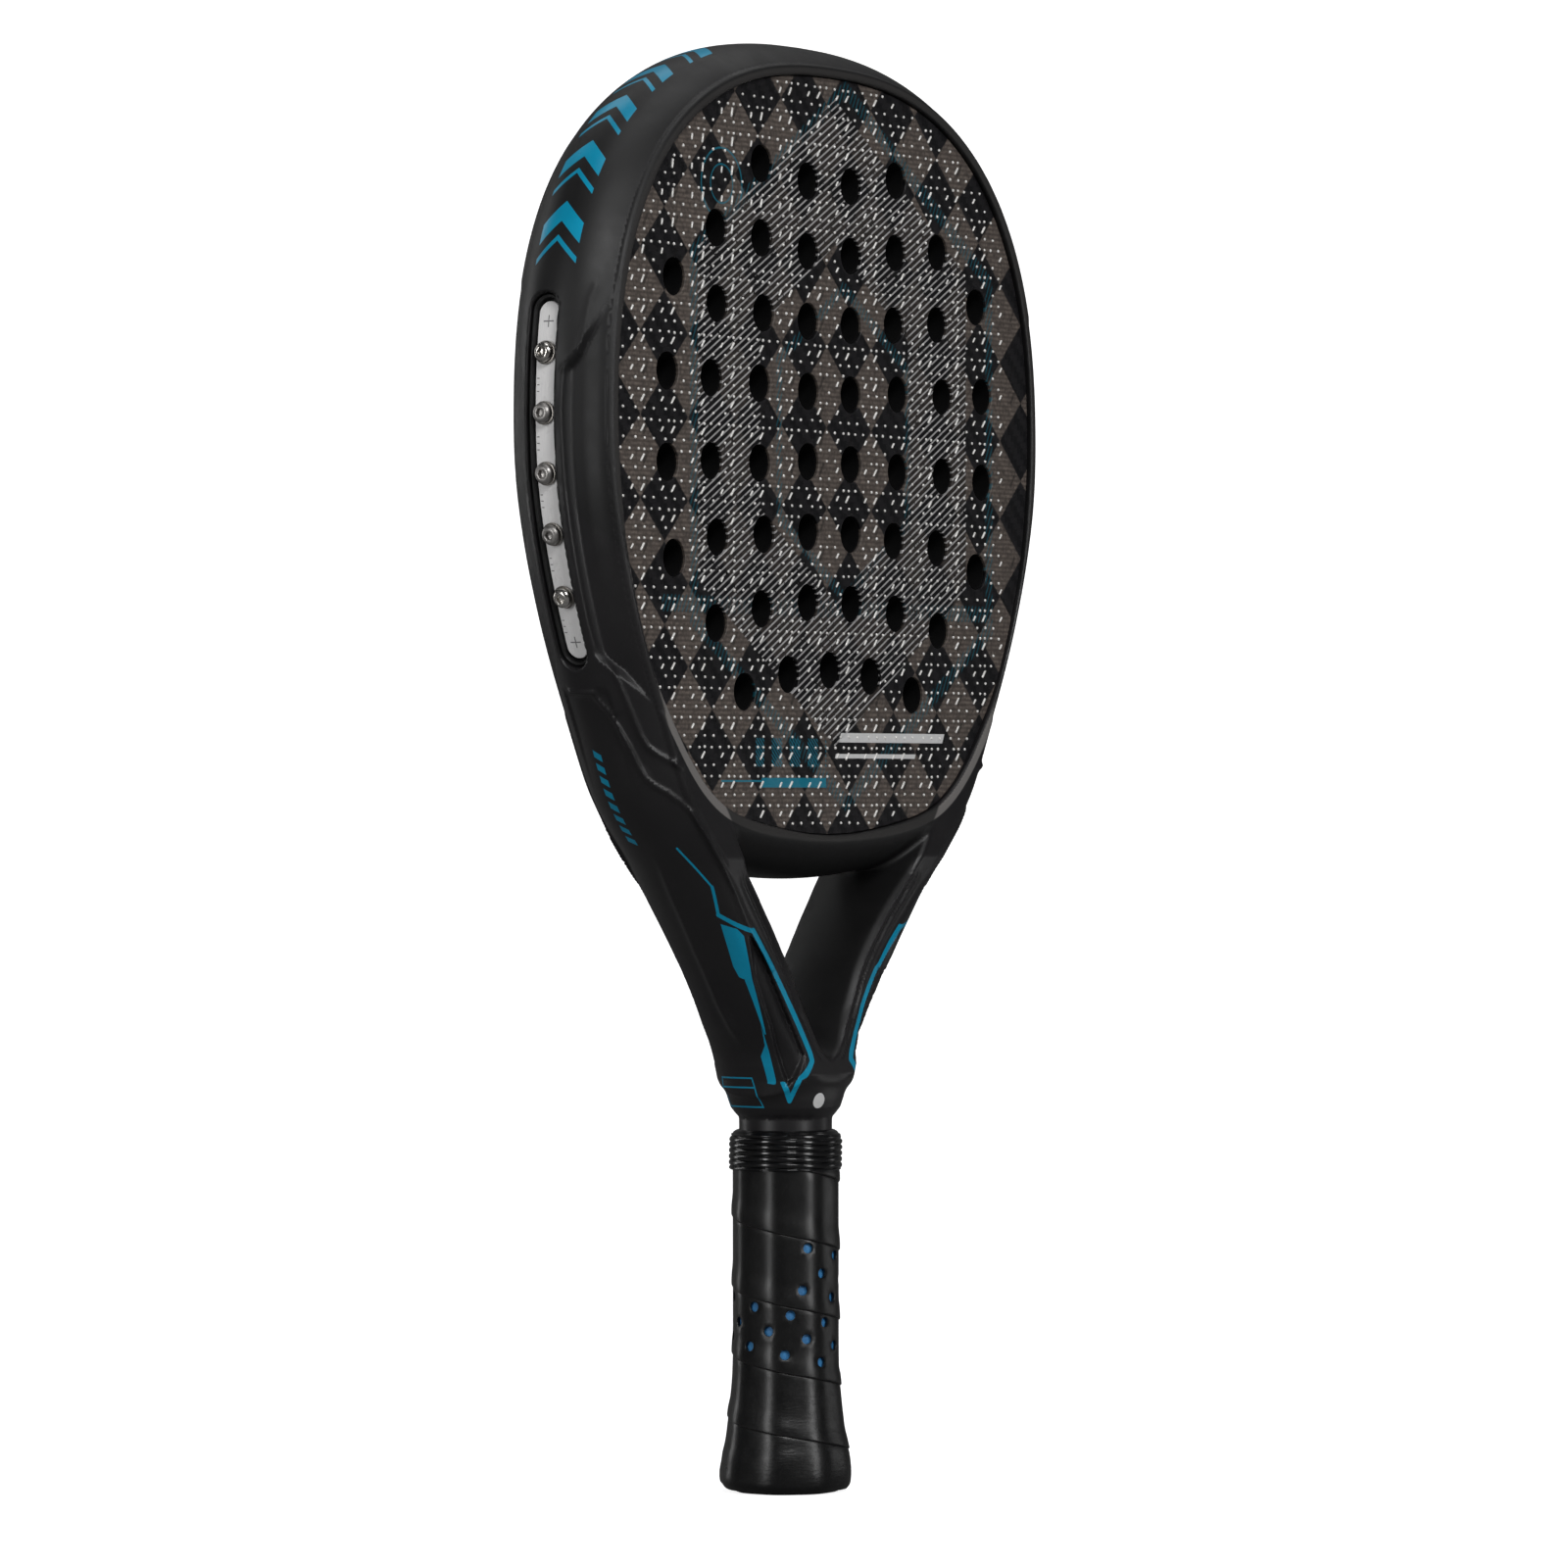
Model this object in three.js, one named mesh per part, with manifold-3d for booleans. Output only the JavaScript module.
// Padel racket: moulded composite frame with a foam core, two drilled face skins,
// a screw-on weight rail in each side of the head, and a wrapped handle.
// Millimetres. +Z runs from the butt to the head, X across the face, the front face looks to -Y.
// The origin is the centre of the butt's flat end.
import * as THREE from 'three';
import { mergeVertices } from 'three/addons/utils/BufferGeometryUtils.js';
import Module from 'manifold-3d';

const wasm = await Module();
wasm.setup();
const { Manifold, Mesh } = wasm;
const { clamp, lerp, smoothstep } = THREE.MathUtils;

// ---------------------------------------------------------------- shared dimensions
const GAP = 0.3;         // assembly gap between neighbouring pieces
const HALF_DEPTH = 19;   // half depth of the frame
const EDGE_START = 17;   // depth from the mid plane where the frame's edges start to round
const NECK_R = 14.6;     // neck where it enters the handle
const GRIP_R = 16.85;    // outside of the wrapped grip
const TANG = { halfWidth: 9, halfDepth: 10.5, exponent: 4, segments: 12 };

// ---------------------------------------------------------------- solids
// coordinates in which a loft's end rings are triangulated
const XY = [0, 1];
const XZ = [0, 2];
const YX = [1, 0];

function solidOf(geometry) {
  geometry.deleteAttribute('normal');
  geometry.deleteAttribute('uv');
  const merged = mergeVertices(geometry, 1e-4);
  const solid = new Manifold(new Mesh({
    numProp: 3,
    vertProperties: merged.attributes.position.array,
    triVerts: new Uint32Array(merged.index.array),
  }));
  if (solid.volume() <= 0) throw new Error('inside out');
  return solid;
}

function geometryFrom(solid) {
  const mesh = solid.getMesh();
  const geometry = new THREE.BufferGeometry();
  geometry.setAttribute('position', new THREE.BufferAttribute(mesh.vertProperties.slice(), 3));
  geometry.setIndex(new THREE.BufferAttribute(new Uint32Array(mesh.triVerts), 1));
  geometry.computeVertexNormals();
  return geometry;
}

// turns the triangles over if they enclose a negative volume
function faceOutward(points, index) {
  const corner = (i) => new THREE.Vector3(...points[index[i]]);
  let volume = 0;
  for (let i = 0; i < index.length; i += 3) {
    volume += corner(i).dot(corner(i + 1).cross(corner(i + 2)));
  }
  if (volume >= 0) return;
  for (let i = 0; i < index.length; i += 3) {
    [index[i + 1], index[i + 2]] = [index[i + 2], index[i + 1]];
  }
}

// closed body through rings of equal point count, with triangulated ends
function loft(rings, [capU, capV]) {
  const count = rings[0].length;
  const index = [];
  for (let k = 0; k + 1 < rings.length; k++) {
    for (let i = 0; i < count; i++) {
      const a = k * count + i;
      const b = k * count + (i + 1) % count;
      index.push(a, b, b + count, a, b + count, a + count);
    }
  }
  const addCap = (ring, offset, direction) => {
    const outline = ring.map((point) => new THREE.Vector2(point[capU], point[capV]));
    const winding = Math.sign(THREE.ShapeUtils.area(outline)) * direction;
    for (const triangle of THREE.ShapeUtils.triangulateShape([...outline], [])) {
      const area = THREE.ShapeUtils.area(triangle.map((i) => outline[i]));
      const [a, b, c] = triangle.map((i) => i + offset);
      index.push(...(Math.sign(area) === winding ? [a, b, c] : [a, c, b]));
    }
  };
  addCap(rings[0], 0, -1);
  addCap(rings.at(-1), (rings.length - 1) * count, 1);

  const points = rings.flat();
  faceOutward(points, index);
  const geometry = new THREE.BufferGeometry();
  const positions = new Float32Array(points.flat());
  geometry.setAttribute('position', new THREE.BufferAttribute(positions, 3));
  geometry.setIndex(index);
  return solidOf(geometry);
}

// body turned about Z from a closed profile of [radius, z];
// flatPull makes it a soft octagon, pulling the flats in by that share of the radius
function turned(profile, segments, flatPull = 0) {
  const points = profile.map(([radius, z]) => new THREE.Vector2(radius, z));
  if (THREE.ShapeUtils.area(points) < 0) points.reverse();
  points.push(points[0].clone());
  const geometry = new THREE.LatheGeometry(points, segments);
  geometry.rotateX(Math.PI / 2);      // the lathe turns about +Y
  if (flatPull) {
    const position = geometry.attributes.position;
    for (let i = 0; i < position.count; i++) {
      const x = position.getX(i);
      const y = position.getY(i);
      if (Math.hypot(x, y) < 1e-6) continue;
      const scale = 1 - flatPull * (1 + Math.cos(8 * Math.atan2(y, x))) / 2;
      position.setXY(i, x * scale, y * scale);
    }
  }
  return geometry;
}

// plain ring about Z
function ring(inner, outer, z0, z1, segments) {
  return turned([[inner, z0], [outer, z0], [outer, z1], [inner, z1]], segments);
}

// cylinder about Z
function rod(radius, z0, z1, segments) {
  const geometry = new THREE.CylinderGeometry(radius, radius, z1 - z0, segments);
  geometry.rotateX(Math.PI / 2);
  geometry.translate(0, 0, (z0 + z1) / 2);
  return geometry;
}

// level superellipse ring at height z
function squircle(halfWidth, halfDepth, exponent, z, segments) {
  const reach = (value) => Math.sign(value) * Math.pow(Math.abs(value), 2 / exponent);
  return Array.from({ length: segments }, (_, i) => {
    const angle = i / segments * 2 * Math.PI;
    return [halfWidth * reach(Math.cos(angle)), halfDepth * reach(Math.sin(angle)), z];
  });
}

// ---------------------------------------------------------------- outlines
// the head's upper half is a superellipse
const HEAD_CZ = 332;     // height of the widest point of the head
const RIM_A = 121;       // half width of the rim
const RIM_UP = 116;      // height of the rim above the widest point
const HEAD_EXPONENT = 2.45;
const LIP = 4.2;         // lip width between the rim and the face opening
const FACE_EXTRA_UP = 0.5; // how much narrower the lip is at the top

// lower half of the rim, from the widest point down the arm: half width, height
const RIM_LOW = [
  [121, 332], [120.6, 322], [119.3, 311], [117, 300.5], [114.1, 290], [110.7, 280],
  [106.9, 270], [102.5, 260], [97.6, 250], [92.4, 240], [87.3, 230], [81.6, 220],
  [73.4, 210], [63.3, 200], [54, 190], [46, 180], [38.1, 170], [30.7, 160],
  [23.9, 150], [17.8, 140], [12.9, 131],
];
// lower half of the face opening: half width, height
const FACE_LOW = [
  [116.8, 332], [116.2, 322], [115.1, 311], [112.9, 297], [108.6, 282], [103, 267],
  [95.8, 252.4], [89.2, 243], [83, 235], [76.5, 227.6], [69, 221], [60.2, 215.8],
  [52, 213], [44, 211.2], [28, 208.7], [12, 207], [0, 206.6],
];
// window between the arms, at the frame's front and rear edges: half width, height
const WINDOW_SIDE = [
  [45.5, 194.5], [37.6, 186.2], [30.5, 178.4], [24.9, 171.5], [19.8, 164.6], [13.6, 153.8],
  [8.9, 145.9], [6.2, 141.2], [3.8, 138.4], [1.8, 137], [0, 136.5],
];

// quarter superellipse from the top centre to the widest point
function headArc(halfWidth, rise, steps) {
  const points = Array.from({ length: steps + 1 }, (_, i) => {
    const angle = Math.PI / 2 * (1 - i / steps);
    return [
      halfWidth * Math.pow(Math.cos(angle), 2 / HEAD_EXPONENT),
      HEAD_CZ + rise * Math.pow(Math.sin(angle), 2 / HEAD_EXPONENT),
    ];
  });
  points[0][0] = 0;
  return points;
}

function curveOf(points) {
  const vectors = points.map(([x, z]) => new THREE.Vector3(x, 0, z));
  return new THREE.CatmullRomCurve3(vectors, false, 'centripetal');
}

// the right halves of the outlines, all running clockwise seen from the front
const rimCurve = curveOf([...headArc(RIM_A, RIM_UP, 16), ...RIM_LOW.slice(1)]);
const faceCurve = curveOf([
  ...headArc(RIM_A - LIP, RIM_UP - LIP + FACE_EXTRA_UP, 14),
  ...FACE_LOW.slice(1),
]);
const windowCurve = curveOf(WINDOW_SIDE);

// point and outward normal at a share of a curve's length;
// the tangent is taken at least the margin away from either end
function curvePoint(curve, share, margin = 1e-4) {
  const { x, z } = curve.getPointAt(share);
  const tangent = curve.getTangentAt(clamp(share, margin, 1 - margin));
  return { x, z, nx: -tangent.z, nz: tangent.x };
}

function rimAt(share) {
  const point = curvePoint(rimCurve, share);
  return share === 0 ? { ...point, nx: 0, nz: 1 } : point;
}

// the same points on the other side of the centre line, in reverse order
const mirrored = (points) => points.map(([x, ...rest]) => [-x, ...rest]).reverse();

// depths through the body, from distances off the mid plane that start at 0
const bothWays = (levels) => [...levels.slice(1).reverse().map((y) => -y), ...levels];

// ---------------------------------------------------------------- side wall
const SIDE_BULGE = 9;    // how far the side wall stands out past the rim at mid depth
const TOP_BULGE = 7;
const ARM_BULGE = 5;
const WALL_EXPONENT = 2.3;
const WALL_EDGE_DROP = 2.2;  // how far the wall falls in at the front and rear edges
// beside the weight slot the wall has a flat band, then a step, then a straight flank
const BAND_FLAT = 7.4;   // depth at the band's edge
const BAND_FOOT = 9.2;   // depth at the foot of the step
const BAND_FOOT_OUT = 4; // how far the foot stands out past the rim
const WALL_LEVELS = [0, BAND_FLAT, BAND_FOOT, 13, 16.8, 18.2, HALF_DEPTH];
const RIM_STEPS = 42;

// 0 up to the edge's start, 1 at the full half depth
function edgeRounding(depth) {
  return Math.pow(Math.max(0, depth - EDGE_START) / (HALF_DEPTH - EDGE_START), 2);
}

function bulge(z) {
  return z > 225
    ? lerp(SIDE_BULGE, TOP_BULGE, smoothstep(z, 400, 445))
    : lerp(ARM_BULGE, SIDE_BULGE, smoothstep(z, 165, 228));
}

// share of the banded section at height z
const bandShare = (z) => smoothstep(z, 247, 262) * (1 - smoothstep(z, 366, 388));

function bandOffset(crestOut, depth) {
  if (depth <= BAND_FLAT) return crestOut;
  if (depth < BAND_FOOT) {
    return lerp(crestOut, BAND_FOOT_OUT, (depth - BAND_FLAT) / (BAND_FOOT - BAND_FLAT));
  }
  return lerp(BAND_FOOT_OUT, 0, (depth - BAND_FOOT) / (EDGE_START - BAND_FOOT));
}

// outward offset of the side wall from the rim
function sideOffset(z, y) {
  const depth = Math.min(Math.abs(y), EDGE_START);
  const crestOut = bulge(z);
  const plain = crestOut * (1 - Math.pow(depth / EDGE_START, WALL_EXPONENT));
  const wall = lerp(plain, bandOffset(crestOut, depth), bandShare(z));
  return wall - WALL_EDGE_DROP * edgeRounding(Math.abs(y));
}

function rimPlate() {
  const rim = Array.from({ length: RIM_STEPS + 1 }, (_, i) => rimAt(i / RIM_STEPS));
  return loft(bothWays(WALL_LEVELS).map((y) => {
    const right = rim.map(({ x, z, nx, nz }) => {
      const offset = sideOffset(z, y);
      return [x + nx * offset, y, z + nz * offset];
    });
    return right.concat(mirrored(right.slice(1)));
  }), XZ);
}

// ---------------------------------------------------------------- arms, neck and tang
// the arms get thinner towards the neck: height, half depth
const ARM_DEPTH = [
  [118, 19.2], [126, 18.2], [134, 17], [138, 16.4], [146, 15.2], [156, 14.6], [165, 14.2],
  [173, 14.4], [179, 14.8], [185.5, 15.4], [191, 16.2], [198, 17.6], [202.6, 19.2], [205, 19.4],
];
const ARM_CUT_DEPTH = 26;   // outer limit of the cutters that thin the arms
const ARM_CUT_WIDTH = 180;

// the neck, a soft square that closes to a round: height, half width, half depth, exponent
const NECK = [
  [150, 21.5, 14.2, 4], [145, 22.5, 15, 3.8], [140, 23, 16.2, 3.4], [134, 21.8, 17, 2.9],
  [129, 19.5, 17.3, 2.6], [124, 17.6, 17, 2.5], [121, 16.5, 16.4, 2.4],
  [119.2, 15.6, 15.5, 2.2], [117.8, NECK_R + 0.1, NECK_R + 0.1, 2], [108, NECK_R, NECK_R, 2],
];

// cutter that thins the arms from the front (side -1) or the rear (side 1)
function armCutter(side) {
  const shape = new THREE.Shape([
    ...ARM_DEPTH.map(([z, y]) => new THREE.Vector2(z, side * y)),
    new THREE.Vector2(ARM_DEPTH.at(-1)[0], side * ARM_CUT_DEPTH),
    new THREE.Vector2(ARM_DEPTH[0][0], side * ARM_CUT_DEPTH),
  ]);
  const geometry = new THREE.ExtrudeGeometry(shape, { depth: ARM_CUT_WIDTH, bevelEnabled: false });
  geometry.rotateY(-Math.PI / 2);      // shape x, y, depth -> Z, Y, -X
  geometry.translate(ARM_CUT_WIDTH / 2, 0, 0);
  return solidOf(geometry);
}

function neckSolid() {
  return loft(NECK.map(([z, halfWidth, halfDepth, exponent]) =>
    squircle(halfWidth, halfDepth, exponent, z, 28)), XY);
}

function tangSolid(zTop, zBottom, clearance = 0) {
  const { halfWidth, halfDepth, exponent, segments } = TANG;
  return loft([zTop, zBottom].map((z) =>
    squircle(halfWidth + clearance, halfDepth + clearance, exponent, z, segments)), XY);
}

// ---------------------------------------------------------------- window between the arms
const WINDOW_LEVELS = [0, 11, 17.6, HALF_DEPTH, 19.6];
const WINDOW_NARROWING = 2.4;   // how far the sides stand in at mid depth
const WINDOW_EDGE_FLARE = 1.5;  // how far they open at the front and rear edges
const WINDOW_SIDE_STEPS = 11;
const WINDOW_TOP_STEPS = 5;
const BRIDGE = { edgeZ: 203.8, drop: 11, curve: 0.0016 };  // underside of the head above the window

function bridgeZ(x, y) {
  const drop = BRIDGE.drop * (1 - Math.pow(y / HALF_DEPTH, 2));
  return BRIDGE.edgeZ - drop + BRIDGE.curve * x * x;
}

// from the bridge's centre, out to the right, down to the bottom centre and back up the left
function windowRing(y) {
  const depth = Math.abs(y);
  const inset = WINDOW_NARROWING * (1 - Math.pow(Math.min(depth, EDGE_START) / EDGE_START, 2))
    - WINDOW_EDGE_FLARE * edgeRounding(depth);
  const side = Array.from({ length: WINDOW_SIDE_STEPS + 1 }, (_, i) => {
    const { x, z, nx, nz } = curvePoint(windowCurve, i / WINDOW_SIDE_STEPS, 1e-3);
    return [Math.max(0, x - nx * inset), y, z - nz * inset];
  });
  side[WINDOW_SIDE_STEPS][0] = 0;
  const top = Array.from({ length: WINDOW_TOP_STEPS }, (_, i) => {
    const x = side[0][0] * i / WINDOW_TOP_STEPS;
    return [x, y, bridgeZ(x, y)];
  });
  const right = top.concat(side);
  return right.concat(mirrored(right.slice(1, -1)));
}

// ---------------------------------------------------------------- face opening, core and skins
const FACE_Y = 17.2;     // outer surface of each face skin
const FACE_T = 1;        // face skin thickness
const CORE_Y = FACE_Y - FACE_T - GAP;
const FACE_STEPS = 27;
const OPENING_Y = 22;    // reach of the opening's cutter
const HOLE_R = 5.85;
const HOLE_SEGMENTS = 8;

// drilled holes, mirrored across the centre line: distance from it, height
const HOLES = [
  [12.2, 411.1], [38, 414.7], [12.2, 389.1], [37.9, 391.7], [62.6, 393.3], [12.1, 367.2],
  [36.9, 368.5], [62.2, 370.1], [85.5, 377], [12, 345.3], [39.1, 346.6], [65.4, 347.1],
  [89, 348.1], [12.1, 323.3], [39.1, 321.9], [65.5, 321.6], [89, 320.4], [12, 301.3],
  [36.8, 299.9], [62.2, 298.3], [85.5, 291.3], [12.3, 279.3], [37.9, 276.8], [62.9, 271.9],
  [0, 258.3], [23.2, 256.7], [47.6, 251],
].flatMap(([x, z]) => (x === 0 ? [[x, z]] : [[x, z], [-x, z]]));

// the opening's outline pulled in by an inset, clockwise from the top centre
function faceLoop(inset) {
  const right = Array.from({ length: FACE_STEPS + 1 }, (_, i) => {
    const { x, z, nx, nz } = curvePoint(faceCurve, i / FACE_STEPS);
    if (i === 0) return [0, z - inset];
    if (i === FACE_STEPS) return [0, z + inset];
    return [x - nx * inset, z - nz * inset];
  });
  return right.concat(mirrored(right.slice(1, -1)));
}

function holePath([x, z]) {
  return new THREE.Path(Array.from({ length: HOLE_SEGMENTS }, (_, i) => {
    const angle = -(i + 0.5) / HOLE_SEGMENTS * 2 * Math.PI;
    return new THREE.Vector2(x + HOLE_R * Math.cos(angle), z + HOLE_R * Math.sin(angle));
  }));
}

// flat plate of the face's outline between two depths
function facePlate(inset, y0, y1, holes) {
  const outline = faceLoop(inset).map(([x, z]) => new THREE.Vector2(x, z));
  const shape = new THREE.Shape(outline.reverse());      // counter-clockwise
  shape.holes = holes.map(holePath);
  const geometry = new THREE.ExtrudeGeometry(shape, { depth: y1 - y0, bevelEnabled: false });
  geometry.rotateX(Math.PI / 2);      // shape x, y, depth -> X, Z, -Y
  geometry.translate(0, y1, 0);
  return solidOf(geometry);
}

// ---------------------------------------------------------------- crest of the side wall
// Slot pieces are placed by their run along the crest and their height out from it.
// Side 1 is the right (+X), -1 the left.
const SLOT_Y = 1.8;      // how far the slot's middle stands behind the mid plane
const CREST_START = 0.2; // shares of the half rim's length
const CREST_SPAN = 0.4;
const CREST_STEPS = 400;
const BAR_STEP = 11;     // length of a bar's straight pieces, about
const BAR_ARC_STEPS = 3; // steps in each quarter of a bar's round ends

const crest = Array.from({ length: CREST_STEPS + 1 }, (_, i) => {
  const { x, z, nx, nz } = rimAt(CREST_START + CREST_SPAN * i / CREST_STEPS);
  const out = bulge(z);
  return { x: x + nx * out, z: z + nz * out, nx, nz, run: 0 };
});
for (let i = 1; i < crest.length; i++) {
  const [a, b] = [crest[i - 1], crest[i]];
  b.run = a.run + Math.hypot(b.x - a.x, b.z - a.z);
}

// ends of the segment before the first sample that is past the place;
// beyond the samples the last segment is carried on straight
function crestSegment(isPast) {
  const found = crest.findIndex((sample, i) => i > 0 && isPast(sample));
  const end = found < 0 ? crest.length - 1 : found;
  return [crest[end - 1], crest[end]];
}

function runAtHeight(z) {
  const [a, b] = crestSegment((sample) => sample.z <= z);
  return lerp(a.run, b.run, (z - a.z) / (b.z - a.z));
}

function crestAt(run) {
  const [a, b] = crestSegment((sample) => sample.run >= run);
  const share = (run - a.run) / (b.run - a.run);
  const nx = lerp(a.nx, b.nx, share);
  const nz = lerp(a.nz, b.nz, share);
  const length = Math.hypot(nx, nz);
  return {
    x: lerp(a.x, b.x, share),
    z: lerp(a.z, b.z, share),
    nx: nx / length,
    nz: nz / length,
  };
}

// round-ended bar that follows the crest between two runs and two heights
function crestBar(run0, run1, halfWidth, h0, h1, side) {
  const straight = Math.round((run1 - run0 - 2 * halfWidth) / BAR_STEP);
  const arc = Array.from({ length: BAR_ARC_STEPS }, (_, i) => {
    const angle = (i + 1) / BAR_ARC_STEPS * Math.PI / 2;
    return [halfWidth * (1 - Math.cos(angle)), halfWidth * Math.sin(angle)];
  });
  const cuts = arc.map(([inward, half]) => [run0 + inward, half]);
  for (let i = 1; i < straight; i++) {
    cuts.push([lerp(run0 + halfWidth, run1 - halfWidth, i / straight), halfWidth]);
  }
  cuts.push(...arc.reverse().map(([inward, half]) => [run1 - inward, half]));
  return loft(cuts.map(([run, half]) => {
    const { x, z, nx, nz } = crestAt(run);
    const at = (y, h) => [side * (x + nx * h), y + SLOT_Y, z + nz * h];
    return [at(-half, h0), at(half, h0), at(half, h1), at(-half, h1)];
  }), YX);
}

// moves a body made about +Z to stand on the crest, its z becoming height from the crest
function onCrest(geometry, run, side) {
  const { x, z, nx, nz } = crestAt(run);
  const up = new THREE.Vector3(0, 0, 1);
  const normal = new THREE.Vector3(side * nx, 0, nz);
  geometry.applyQuaternion(new THREE.Quaternion().setFromUnitVectors(up, normal));
  geometry.translate(side * x, SLOT_Y, z);
  return geometry;
}

// ---------------------------------------------------------------- slot, rail and screw sizes
// heights are measured out from the crest
const SLOT = {
  run0: runAtHeight(371), run1: runAtHeight(257), halfWidth: 5.3, floor: -7.7, cutTop: 6,
};
const STATIONS = [352.7, 334.2, 315.6, 297.0, 277.9].map(runAtHeight);  // screws, top to bottom
const RAIL = { endInset: 2.2, halfWidth: 3.7, top: -3.8, thickness: 1.8, holeR: 2 };
const RAIL_BOTTOM = RAIL.top - RAIL.thickness;
const TRAY = { wall: 0.8, top: -2.4, cutTop: 2, holeR: 2.2 };
const INSERT = { innerR: 1.85, outerR: 2.6, bottom: -11.7, boreR: 2.95 };
const WASHER = { innerR: 1.85, outerR: 3.6, bottom: RAIL.top + GAP, thickness: 0.7 };
const SCREW = {                                     // M3 button head
  radius: 1.5, tip: -11.4, shankEnd: -11,
  headBase: WASHER.bottom + WASHER.thickness + GAP,
  headR: 3.1, crownR: 2.2, rimHeight: 0.8, headHeight: 1.8,
  socketR: 1.45, socketFloor: 0.3, socketCut: 3,    // socket heights from the head's base
};

// drills an eight-sided hole at every screw station of one side
function drillStations(solid, side, radius, h0, h1) {
  return STATIONS.reduce(
    (body, run) => body.subtract(solidOf(onCrest(rod(radius, h0, h1, 8), run, side))), solid);
}

// ---------------------------------------------------------------- materials
const finish = (look) => new THREE.MeshStandardMaterial(look);
const MATERIALS = {
  frame: finish({ color: 0x232224, roughness: 0.45 }),
  face: finish({ color: 0x2b2826, roughness: 0.35 }),
  foam: finish({ color: 0x3a3a3c, roughness: 0.9 }),
  rail: finish({ color: 0xd9d8d6, roughness: 0.35, metalness: 0.8 }),
  steel: finish({ color: 0xa8a49c, roughness: 0.3, metalness: 0.9 }),
  tray: finish({ color: 0x0c0c0d, roughness: 0.6 }),
  brass: finish({ color: 0xb08d4a, roughness: 0.35, metalness: 0.9 }),
  grip: finish({ color: 0x161616, roughness: 0.4 }),
  base: finish({ color: 0x1d5fa8, roughness: 0.7 }),
  rubber: finish({ color: 0x0b0b0b, roughness: 0.25 }),
  pallet: finish({ color: 0xc9b98f, roughness: 0.9 }),
  tape: finish({ color: 0x101010, roughness: 0.5 }),
};

const root = new THREE.Group();

function add(name, body, material) {
  const mesh = new THREE.Mesh(body.isBufferGeometry ? body : geometryFrom(body), material);
  mesh.name = name;
  root.add(mesh);
}

// ---------------------------------------------------------------- head pieces
function frameSolid() {
  let frame = rimPlate()
    .subtract(armCutter(1))
    .subtract(armCutter(-1))
    .add(neckSolid())
    .subtract(loft(bothWays(WINDOW_LEVELS).map(windowRing), XZ))
    .add(tangSolid(112, 12))
    .subtract(facePlate(0, -OPENING_Y, OPENING_Y, []));
  for (const side of [-1, 1]) {
    frame = frame.subtract(
      crestBar(SLOT.run0, SLOT.run1, SLOT.halfWidth, SLOT.floor, SLOT.cutTop, side));
    frame = drillStations(frame, side, INSERT.boreR, INSERT.bottom - GAP, SLOT.floor + 0.5);
  }
  return frame;
}

// bar in the slot, pulled in from its ends and sides
function slotBar(endInset, sideInset, h0, h1, side) {
  return crestBar(
    SLOT.run0 + endInset, SLOT.run1 - endInset, SLOT.halfWidth - sideInset, h0, h1, side);
}

// moulded liner that seats in the slot
function railTray(side) {
  const bottom = SLOT.floor + GAP;
  const floorTop = RAIL_BOTTOM - GAP;
  const inset = GAP + TRAY.wall;
  const tray = slotBar(GAP, GAP, bottom, TRAY.top, side)
    .subtract(slotBar(inset, inset, floorTop, TRAY.cutTop, side));
  return drillStations(tray, side, TRAY.holeR, bottom - 1, floorTop + 1);
}

function weightRail(side) {
  const sideInset = SLOT.halfWidth - RAIL.halfWidth;
  const rail = slotBar(RAIL.endInset, sideInset, RAIL_BOTTOM, RAIL.top, side);
  return drillStations(rail, side, RAIL.holeR, RAIL_BOTTOM - 1, RAIL.top + 1);
}

// button-head screw with a hexagon socket
function weightScrew() {
  const base = SCREW.headBase;
  const top = base + SCREW.headHeight;
  const profile = [
    [0, SCREW.tip], [SCREW.radius, SCREW.shankEnd], [SCREW.radius, base], [SCREW.headR, base],
    [SCREW.headR, base + SCREW.rimHeight], [SCREW.crownR, top], [0, top],
  ];
  const body = new THREE.LatheGeometry(profile.map(([r, z]) => new THREE.Vector2(r, z)), 10);
  body.rotateX(Math.PI / 2);
  const socket = rod(SCREW.socketR, base + SCREW.socketFloor, base + SCREW.socketCut, 6);
  return geometryFrom(solidOf(body).subtract(solidOf(socket)));
}

// threaded insert under the tray, washer on the rail, and screw
function addFasteners(tag, run, side) {
  const insert = ring(INSERT.innerR, INSERT.outerR, INSERT.bottom, SLOT.floor, 8);
  const washerTop = WASHER.bottom + WASHER.thickness;
  const washer = ring(WASHER.innerR, WASHER.outerR, WASHER.bottom, washerTop, 10);
  add(`threaded_insert_${tag}`, onCrest(insert, run, side), MATERIALS.brass);
  add(`weight_washer_${tag}`, onCrest(washer, run, side), MATERIALS.steel);
  add(`weight_screw_${tag}`, onCrest(weightScrew(), run, side), MATERIALS.steel);
}

add('frame', frameSolid(), MATERIALS.frame);
add('foam_core', facePlate(GAP, -CORE_Y, CORE_Y, HOLES), MATERIALS.foam);
add('front_face_skin', facePlate(GAP, -FACE_Y, -FACE_Y + FACE_T, HOLES), MATERIALS.face);
add('rear_face_skin', facePlate(GAP, FACE_Y - FACE_T, FACE_Y, HOLES), MATERIALS.face);
for (const [label, side] of [['left', -1], ['right', 1]]) {
  add(`rail_tray_${label}`, railTray(side), MATERIALS.tray);
  add(`weight_rail_${label}`, weightRail(side), MATERIALS.rail);
  STATIONS.forEach((run, i) => addFasteners(`${label}_${i + 1}`, run, side));
}

// ---------------------------------------------------------------- handle
const FLAT_PULL = 0.028; // how far the handle's flats are pulled in, as a share of the radius
const HANDLE_SEGMENTS = 16;
const GRIP_TOP = 107.6;
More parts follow.
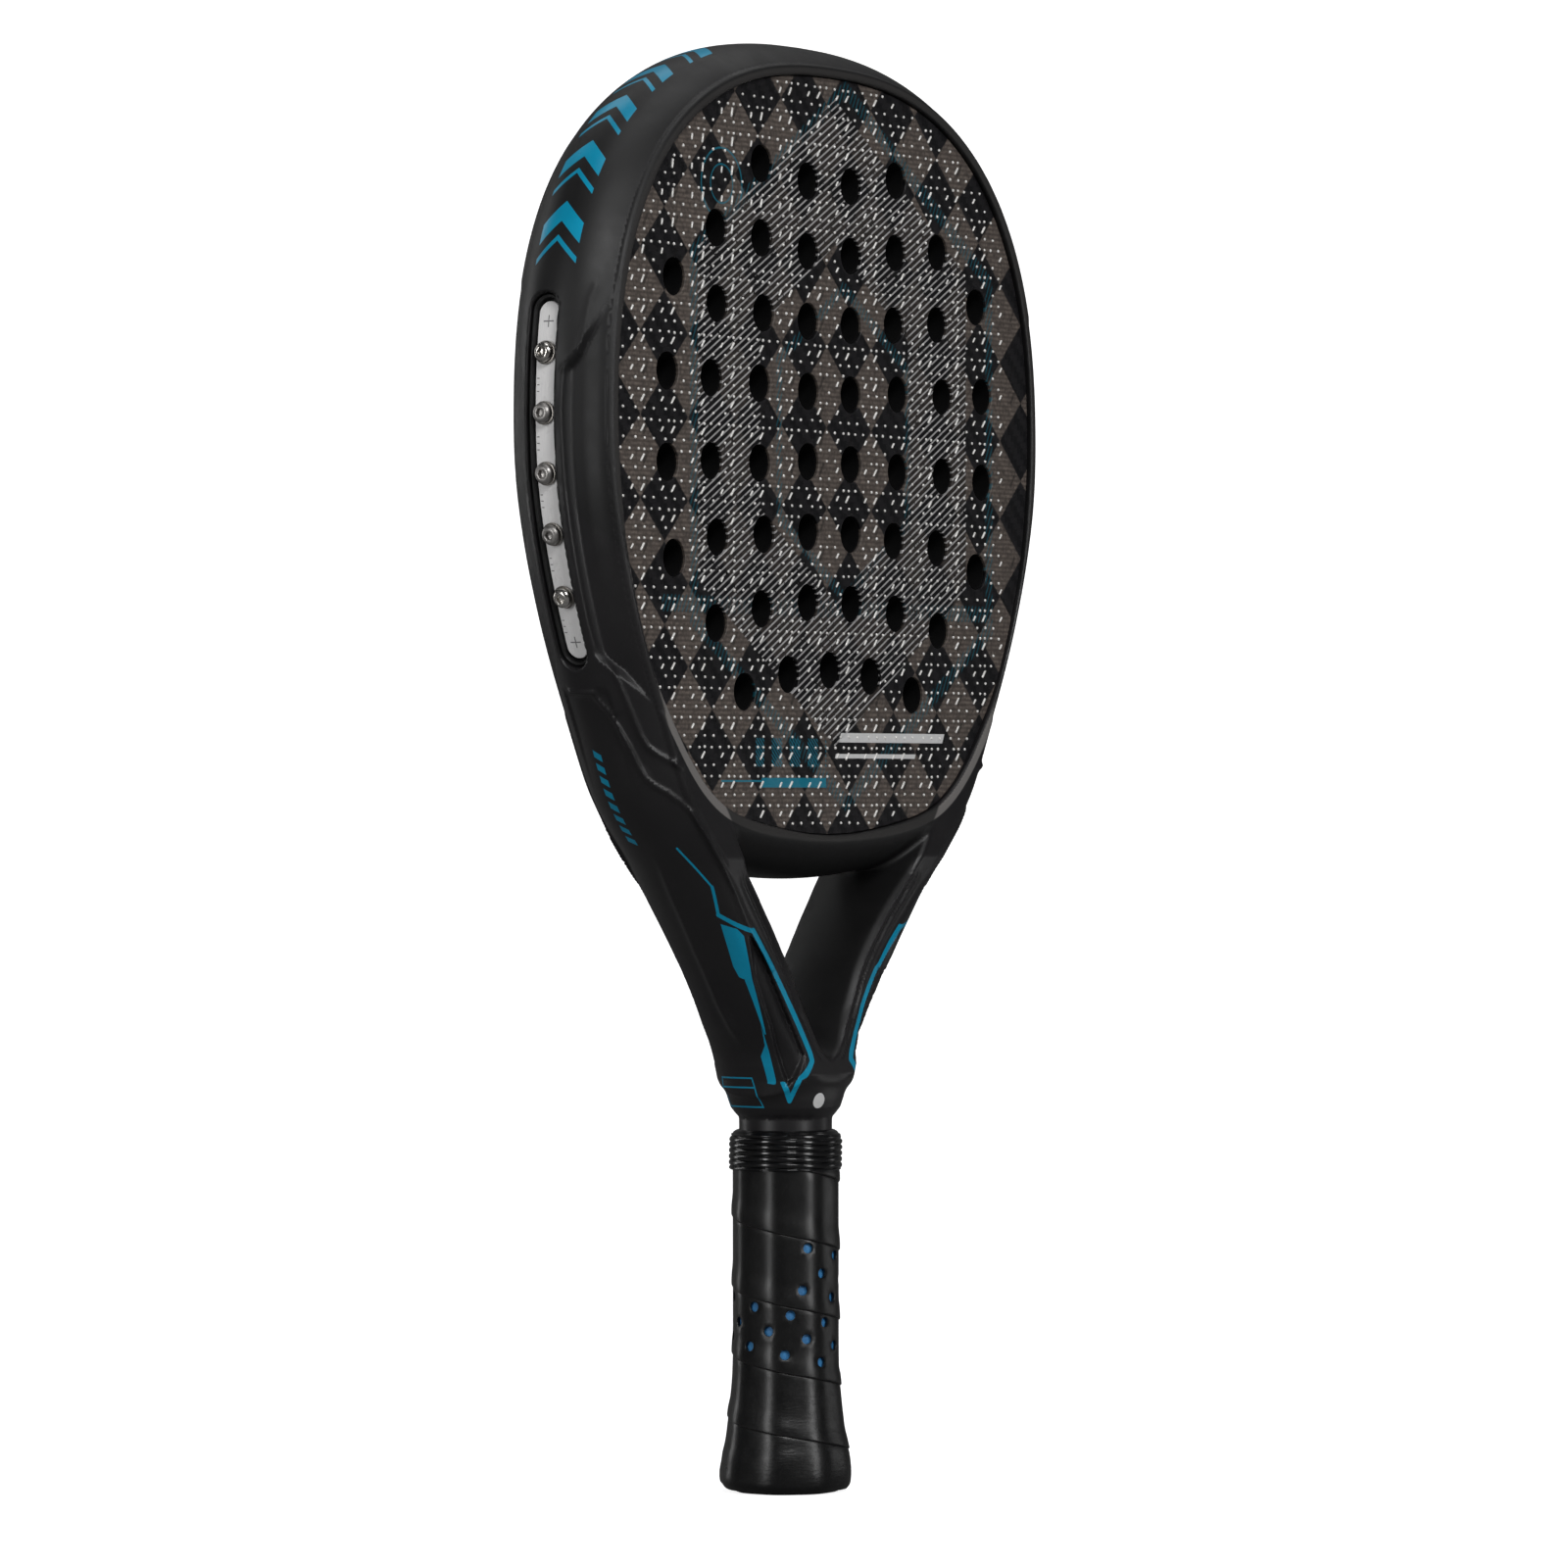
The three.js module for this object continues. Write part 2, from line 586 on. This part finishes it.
// outside of the wrapped grip: height, radius
const GRIP = [
  [0.9, 19.5], [2.8, 20.6], [6, 20.8], [11, 20.4], [16, 19.2], [23, 18.5],
  [37, 17.05], [46, GRIP_R], [GRIP_TOP, GRIP_R],
];
const CAP = { top: 36.3, baseR: 16.6, underGrip: 2.4, eyeR: 3, eyeTop: 12 };
const PALLET = { underGrip: 2.35, top: 106.6 };
const COLLAR = {
  bottom: 101.3, top: 113.9, boreR: NECK_R + 0.4, skirtR: 17.2,
  ribs: 6, firstRib: 0.15, ribPitch: 1.85, ribR: 17.95, lastRibR: 17.35,
};
const TAPE = { outerR: 16.6, bottom: 108.3, top: 110.4 };

function gripRadius(z) {
  const next = GRIP.findIndex(([height]) => z <= height);
  if (next === 0) return GRIP[0][1];
  const [z0, r0] = GRIP[next - 1];
  const [z1, r1] = GRIP[next];
  return lerp(r0, r1, (z - z0) / (z1 - z0));
}

const handleTurned = (profile) => turned(profile, HANDLE_SEGMENTS, FLAT_PULL);

// sleeve between two inward offsets from the grip's outside
function sleeve(outerOffset, innerOffset, z0, z1) {
  const between = GRIP.map(([z]) => z).filter((z) => z > z0 + 0.5 && z < z1 - 0.5);
  const heights = [z0, ...between, z1];
  const wall = (offset) => heights.map((z) => [gripRadius(z) - offset, z]);
  return handleTurned([...wall(outerOffset), ...wall(innerOffset).reverse()]);
}

// foam half round the tang: the front one (side -1) or the rear one (side 1)
function handlePallet(side, tangClearance) {
  const radius = GRIP_R - PALLET.underGrip;
  const bottom = CAP.top + GAP;
  const round = handleTurned([[0, bottom], [radius, bottom], [radius, PALLET.top], [0, PALLET.top]]);
  const near = GAP / 2;
  const far = 30;
  const half = new THREE.BoxGeometry(2 * far, far - near, 130);
  half.translate(0, side * (near + far) / 2, 65);
  return solidOf(round).subtract(tangClearance).intersect(solidOf(half));
}

// flared cup on the end of the tang, with a round eye through its flat end
function buttCap(tangClearance) {
  const heights = GRIP.map(([z]) => z).filter((z) => z < CAP.top);
  const wall = [...heights, CAP.top].map((z) => [gripRadius(z) - CAP.underGrip, z]);
  return solidOf(handleTurned([[0, 0], [CAP.baseR, 0], ...wall, [0, CAP.top]]))
    .subtract(tangClearance)
    .subtract(solidOf(rod(CAP.eyeR, -1, CAP.eyeTop, 10)));
}

// ribbed ring over the top of the grip and the neck
function throatCollar() {
  const ribs = Array.from({ length: COLLAR.ribs }, (_, i) => {
    const z = COLLAR.bottom + COLLAR.firstRib + i * COLLAR.ribPitch;
    const radius = i === COLLAR.ribs - 1 ? COLLAR.lastRibR : COLLAR.ribR;
    return [[radius - 0.5, z], [radius, z + 0.6], [radius, z + 1.25]];
  }).flat();
  return turned([
    [COLLAR.skirtR, COLLAR.bottom], ...ribs, [16.7, 112.6], [16, 113.5],
    [COLLAR.boreR, COLLAR.top], [COLLAR.boreR, 111.2], [COLLAR.skirtR, 110.6],
  ], 20);
}

const tangClearance = tangSolid(113, 9, GAP);
add('overgrip', sleeve(0, 0.85, GRIP[0][0], GRIP_TOP), MATERIALS.grip);
add('base_grip', sleeve(1.15, 2.05, 1.4, 107), MATERIALS.base);
add('handle_pallet_front', handlePallet(-1, tangClearance), MATERIALS.pallet);
add('handle_pallet_rear', handlePallet(1, tangClearance), MATERIALS.pallet);
add('butt_cap', buttCap(tangClearance), MATERIALS.tray);
add('throat_collar', throatCollar(), MATERIALS.rubber);
// closes the top end of the grip on the neck
add('finishing_tape', ring(NECK_R + GAP, TAPE.outerR, TAPE.bottom, TAPE.top, 20), MATERIALS.tape);

export default root;
